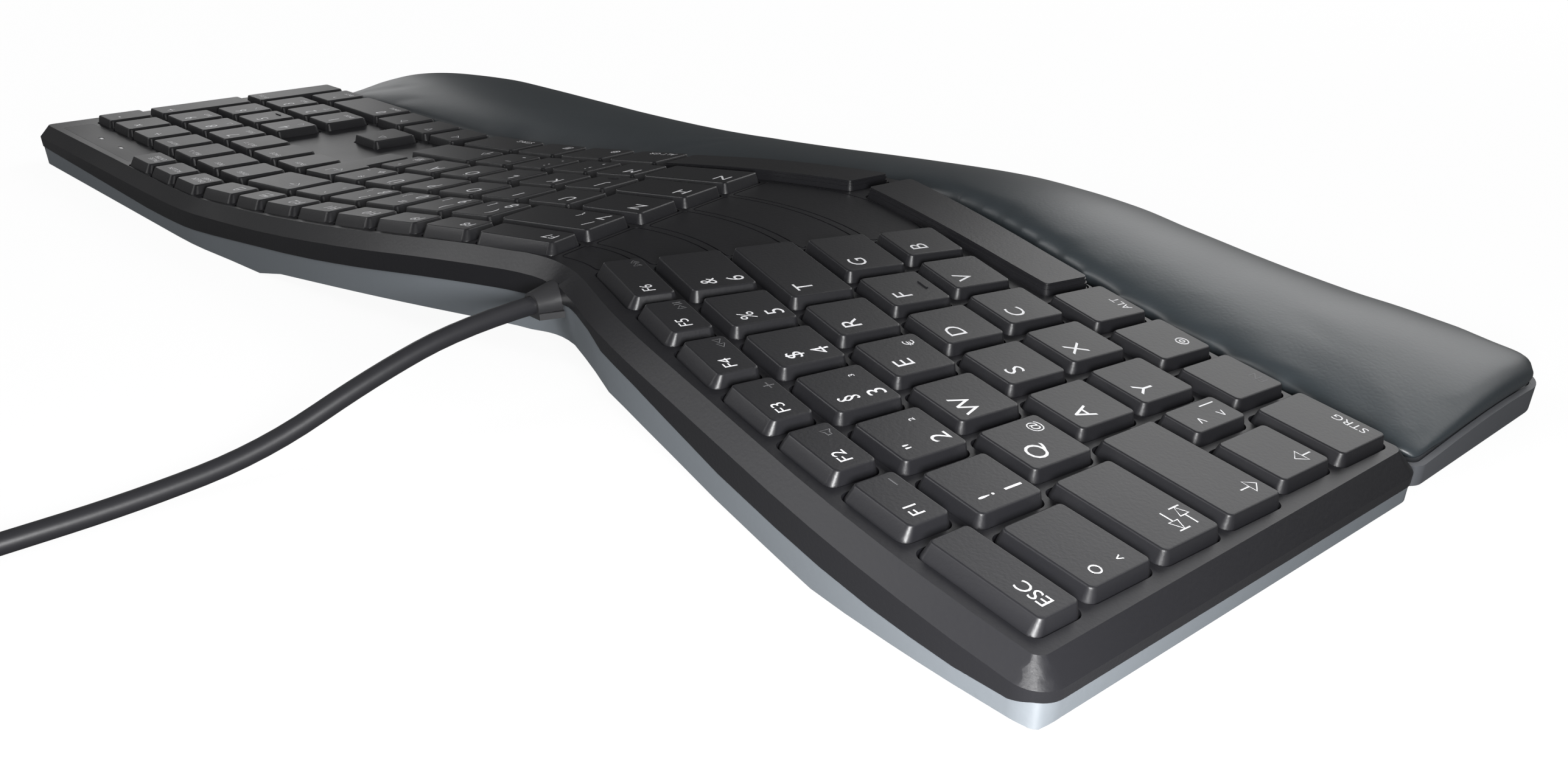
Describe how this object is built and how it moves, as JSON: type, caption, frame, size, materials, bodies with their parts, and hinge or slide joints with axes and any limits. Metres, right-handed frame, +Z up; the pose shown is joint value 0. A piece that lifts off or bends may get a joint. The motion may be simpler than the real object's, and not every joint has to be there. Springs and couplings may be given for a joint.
{
  "type": "ergonomic computer keyboard",
  "caption": "Wired split-layout keyboard with an arched, fanned key field, a number pad and a padded wrist rest across its front.",
  "frame": {"origin": "on the desk, under the middle of the box of everything but the cable", "axes": "+X to the typist's right along the width, +Y away from the typist, +Z up from the desk"},
  "size_m": [0.4726, 0.3839, 0.0295],
  "materials": {
    "keys": "fine grain, satin",
    "case_black": "fine texture, matt",
    "base_grey": "matt",
    "tray_grey": "matt",
    "rest_skin": "soft sheen",
    "rubber_grey": "matt",
    "rubber_clear": "translucent silicone",
    "membrane_film": "printed film",
    "plate_steel": "plain",
    "board_green": "solder mask",
    "window_black": "fine texture, matt",
    "light_guides": "smoked, unlit",
    "cord_black": "satin",
    "screw_steel": "zinc plated",
    "plug_steel": "plated"
  },
  "bodies": {
    "case": {"backing_plate": "plate_steel", "bottom_case": "base_grey", "case_screws": "screw_steel", "controller_board": "board_green", "dome_sheet": "rubber_clear", "indicator_lights": "light_guides", "indicator_window": "window_black", "membrane": "membrane_film", "palm_rest_cushion": "rest_skin", "palm_rest_tray": "tray_grey", "rubber_feet": "rubber_grey", "strain_relief": "cord_black", "top_case": "case_black", "usb_cable": "cord_black", "usb_cable_coil": "cord_black", "usb_plug_body": "cord_black", "usb_plug_shell": "plug_steel"},
    "key_6": {"key_6": "keys"},
    "key_7": {"key_7": "keys"},
    "key_b": {"key_b": "keys"},
    "key_backspace": {"key_backspace": "keys"},
    "key_caps_lock": {"key_caps_lock": "keys"},
    "key_control_left": {"key_control_left": "keys"},
    "key_control_right": {"key_control_right": "keys"},
    "key_escape": {"key_escape": "keys"},
    "key_f6": {"key_f6": "keys"},
    "key_f7": {"key_f7": "keys"},
    "key_g": {"key_g": "keys"},
    "key_grave": {"key_grave": "keys"},
    "key_h": {"key_h": "keys"},
    "key_n": {"key_n": "keys"},
    "key_pad_zero": {"key_pad_zero": "keys"},
    "key_return": {"key_return": "keys"},
    "key_shift_left": {"key_shift_left": "keys"},
    "key_shift_right": {"key_shift_right": "keys"},
    "key_space_left": {"key_space_left": "keys"},
    "key_space_right": {"key_space_right": "keys"},
    "key_t": {"key_t": "keys"},
    "key_tab": {"key_tab": "keys"},
    "key_z": {"key_z": "keys"},
    "keys_1_5": {"keys_1_5": "keys"},
    "keys_8_acute": {"keys_8_acute": "keys"},
    "keys_a_f": {"keys_a_f": "keys"},
    "keys_angle_v": {"keys_angle_v": "keys"},
    "keys_bottom_left": {"keys_bottom_left": "keys"},
    "keys_bottom_right": {"keys_bottom_right": "keys"},
    "keys_cursor": {"keys_cursor": "keys"},
    "keys_f1_f5": {"keys_f1_f5": "keys"},
    "keys_f8_f12": {"keys_f8_f12": "keys"},
    "keys_j_hash": {"keys_j_hash": "keys"},
    "keys_m_minus": {"keys_m_minus": "keys"},
    "keys_navigation": {"keys_navigation": "keys"},
    "keys_pad": {"keys_pad": "keys"},
    "keys_pad_tall": {"keys_pad_tall": "keys"},
    "keys_q_r": {"keys_q_r": "keys"},
    "keys_system": {"keys_system": "keys"},
    "keys_u_plus": {"keys_u_plus": "keys"},
    "keys_web_lock": {"keys_web_lock": "keys"}
  },
  "joints": [
    {"name": "6_press", "type": "slide", "parent": "case", "child": "key_6", "axis": [0.0625, 0, -0.998], "range_m": [0, 0.0024], "stiffness_N_per_m": 150, "springref_m": -0.0015},
    {"name": "7_press", "type": "slide", "parent": "case", "child": "key_7", "axis": [-0.0469, 0, -0.9989], "range_m": [0, 0.0024], "stiffness_N_per_m": 150, "springref_m": -0.0015},
    {"name": "b_press", "type": "slide", "parent": "case", "child": "key_b", "axis": [0.0915, 0, -0.9958], "range_m": [0, 0.0024], "stiffness_N_per_m": 150, "springref_m": -0.0015},
    {"name": "backspace_press", "type": "slide", "parent": "case", "child": "key_backspace", "axis": [-0.0545, 0, -0.9985], "range_m": [0, 0.0024], "stiffness_N_per_m": 150, "springref_m": -0.0015},
    {"name": "caps_lock_press", "type": "slide", "parent": "case", "child": "key_caps_lock", "axis": [0.1219, 0, -0.9925], "range_m": [0, 0.0024], "stiffness_N_per_m": 150, "springref_m": -0.0015},
    {"name": "control_left_press", "type": "slide", "parent": "case", "child": "key_control_left", "axis": [0.1219, 0, -0.9925], "range_m": [0, 0.0024], "stiffness_N_per_m": 150, "springref_m": -0.0015},
    {"name": "control_right_press", "type": "slide", "parent": "case", "child": "key_control_right", "axis": [-0.0557, 0, -0.9984], "range_m": [0, 0.0024], "stiffness_N_per_m": 150, "springref_m": -0.0015},
    {"name": "escape_press", "type": "slide", "parent": "case", "child": "key_escape", "axis": [0.1219, 0, -0.9925], "range_m": [0, 0.0024], "stiffness_N_per_m": 150, "springref_m": -0.0015},
    {"name": "f6_press", "type": "slide", "parent": "case", "child": "key_f6", "axis": [0.0521, 0, -0.9986], "range_m": [0, 0.0024], "stiffness_N_per_m": 150, "springref_m": -0.0015},
    {"name": "f7_press", "type": "slide", "parent": "case", "child": "key_f7", "axis": [-0.0338, 0, -0.9994], "range_m": [0, 0.0024], "stiffness_N_per_m": 150, "springref_m": -0.0015},
    {"name": "g_press", "type": "slide", "parent": "case", "child": "key_g", "axis": [0.0844, 0, -0.9964], "range_m": [0, 0.0024], "stiffness_N_per_m": 150, "springref_m": -0.0015},
    {"name": "grave_press", "type": "slide", "parent": "case", "child": "key_grave", "axis": [0.1219, 0, -0.9925], "range_m": [0, 0.0024], "stiffness_N_per_m": 150, "springref_m": -0.0015},
    {"name": "h_press", "type": "slide", "parent": "case", "child": "key_h", "axis": [-0.0592, 0, -0.9982], "range_m": [0, 0.0024], "stiffness_N_per_m": 150, "springref_m": -0.0015},
    {"name": "n_press", "type": "slide", "parent": "case", "child": "key_n", "axis": [-0.0735, 0, -0.9973], "range_m": [0, 0.0024], "stiffness_N_per_m": 150, "springref_m": -0.0015},
    {"name": "pad_zero_press", "type": "slide", "parent": "case", "child": "key_pad_zero", "axis": [0, 0, -1], "range_m": [0, 0.0024], "stiffness_N_per_m": 150, "springref_m": -0.0015},
    {"name": "return_press", "type": "slide", "parent": "case", "child": "key_return", "axis": [-0.0483, 0, -0.9988], "range_m": [0, 0.0024], "stiffness_N_per_m": 150, "springref_m": -0.0015},
    {"name": "shift_left_press", "type": "slide", "parent": "case", "child": "key_shift_left", "axis": [0.1219, 0, -0.9925], "range_m": [0, 0.0024], "stiffness_N_per_m": 150, "springref_m": -0.0015},
    {"name": "shift_right_press", "type": "slide", "parent": "case", "child": "key_shift_right", "axis": [-0.0576, 0, -0.9983], "range_m": [0, 0.0024], "stiffness_N_per_m": 150, "springref_m": -0.0015},
    {"name": "space_left_press", "type": "slide", "parent": "case", "child": "key_space_left", "axis": [0.0885, 0, -0.9961], "range_m": [0, 0.0024], "stiffness_N_per_m": 150, "springref_m": -0.0015},
    {"name": "space_right_press", "type": "slide", "parent": "case", "child": "key_space_right", "axis": [-0.0604, 0, -0.9982], "range_m": [0, 0.0024], "stiffness_N_per_m": 150, "springref_m": -0.0015},
    {"name": "t_press", "type": "slide", "parent": "case", "child": "key_t", "axis": [0.0825, 0, -0.9966], "range_m": [0, 0.0024], "stiffness_N_per_m": 150, "springref_m": -0.0015},
    {"name": "tab_press", "type": "slide", "parent": "case", "child": "key_tab", "axis": [0.1219, 0, -0.9925], "range_m": [0, 0.0024], "stiffness_N_per_m": 150, "springref_m": -0.0015},
    {"name": "z_press", "type": "slide", "parent": "case", "child": "key_z", "axis": [-0.0456, 0, -0.999], "range_m": [0, 0.0024], "stiffness_N_per_m": 150, "springref_m": -0.0015},
    {"name": "1_5_press", "type": "slide", "parent": "case", "child": "keys_1_5", "axis": [0.1183, 0, -0.993], "range_m": [0, 0.0024], "stiffness_N_per_m": 300, "springref_m": -0.0015},
    {"name": "8_acute_press", "type": "slide", "parent": "case", "child": "keys_8_acute", "axis": [-0.099, 0, -0.9951], "range_m": [0, 0.0024], "stiffness_N_per_m": 300, "springref_m": -0.0015},
    {"name": "a_f_press", "type": "slide", "parent": "case", "child": "keys_a_f", "axis": [0.1219, 0, -0.9925], "range_m": [0, 0.0024], "stiffness_N_per_m": 300, "springref_m": -0.0015},
    {"name": "angle_v_press", "type": "slide", "parent": "case", "child": "keys_angle_v", "axis": [0.1219, 0, -0.9925], "range_m": [0, 0.0024], "stiffness_N_per_m": 300, "springref_m": -0.0015},
    {"name": "bottom_left_press", "type": "slide", "parent": "case", "child": "keys_bottom_left", "axis": [0.1219, 0, -0.9925], "range_m": [0, 0.0024], "stiffness_N_per_m": 150, "springref_m": -0.0015},
    {"name": "bottom_right_press", "type": "slide", "parent": "case", "child": "keys_bottom_right", "axis": [-0.0989, 0, -0.9951], "range_m": [0, 0.0024], "stiffness_N_per_m": 150, "springref_m": -0.0015},
    {"name": "cursor_press", "type": "slide", "parent": "case", "child": "keys_cursor", "axis": [-0.0096, 0, -1], "range_m": [0, 0.0024], "stiffness_N_per_m": 300, "springref_m": -0.0015},
    {"name": "f1_f5_press", "type": "slide", "parent": "case", "child": "keys_f1_f5", "axis": [0.1163, 0, -0.9932], "range_m": [0, 0.0024], "stiffness_N_per_m": 300, "springref_m": -0.0015},
    {"name": "f8_f12_press", "type": "slide", "parent": "case", "child": "keys_f8_f12", "axis": [-0.098, 0, -0.9952], "range_m": [0, 0.0024], "stiffness_N_per_m": 300, "springref_m": -0.0015},
    {"name": "j_hash_press", "type": "slide", "parent": "case", "child": "keys_j_hash", "axis": [-0.0921, 0, -0.9958], "range_m": [0, 0.0024], "stiffness_N_per_m": 300, "springref_m": -0.0015},
    {"name": "m_minus_press", "type": "slide", "parent": "case", "child": "keys_m_minus", "axis": [-0.1016, 0, -0.9948], "range_m": [0, 0.0024], "stiffness_N_per_m": 300, "springref_m": -0.0015},
    {"name": "navigation_press", "type": "slide", "parent": "case", "child": "keys_navigation", "axis": [-0.0109, 0, -0.9999], "range_m": [0, 0.0024], "stiffness_N_per_m": 300, "springref_m": -0.0015},
    {"name": "pad_press", "type": "slide", "parent": "case", "child": "keys_pad", "axis": [0, 0, -1], "range_m": [0, 0.0024], "stiffness_N_per_m": 300, "springref_m": -0.0015},
    {"name": "pad_tall_press", "type": "slide", "parent": "case", "child": "keys_pad_tall", "axis": [0, 0, -1], "range_m": [0, 0.0024], "stiffness_N_per_m": 150, "springref_m": -0.0015},
    {"name": "q_r_press", "type": "slide", "parent": "case", "child": "keys_q_r", "axis": [0.1219, 0, -0.9925], "range_m": [0, 0.0024], "stiffness_N_per_m": 300, "springref_m": -0.0015},
    {"name": "system_press", "type": "slide", "parent": "case", "child": "keys_system", "axis": [-0.0109, 0, -0.9999], "range_m": [0, 0.0024], "stiffness_N_per_m": 150, "springref_m": -0.0015},
    {"name": "u_plus_press", "type": "slide", "parent": "case", "child": "keys_u_plus", "axis": [-0.0934, 0, -0.9956], "range_m": [0, 0.0024], "stiffness_N_per_m": 300, "springref_m": -0.0015},
    {"name": "web_lock_press", "type": "slide", "parent": "case", "child": "keys_web_lock", "axis": [-0.0605, 0, -0.9982], "range_m": [0, 0.0024], "stiffness_N_per_m": 150, "springref_m": -0.0015}
  ]
}
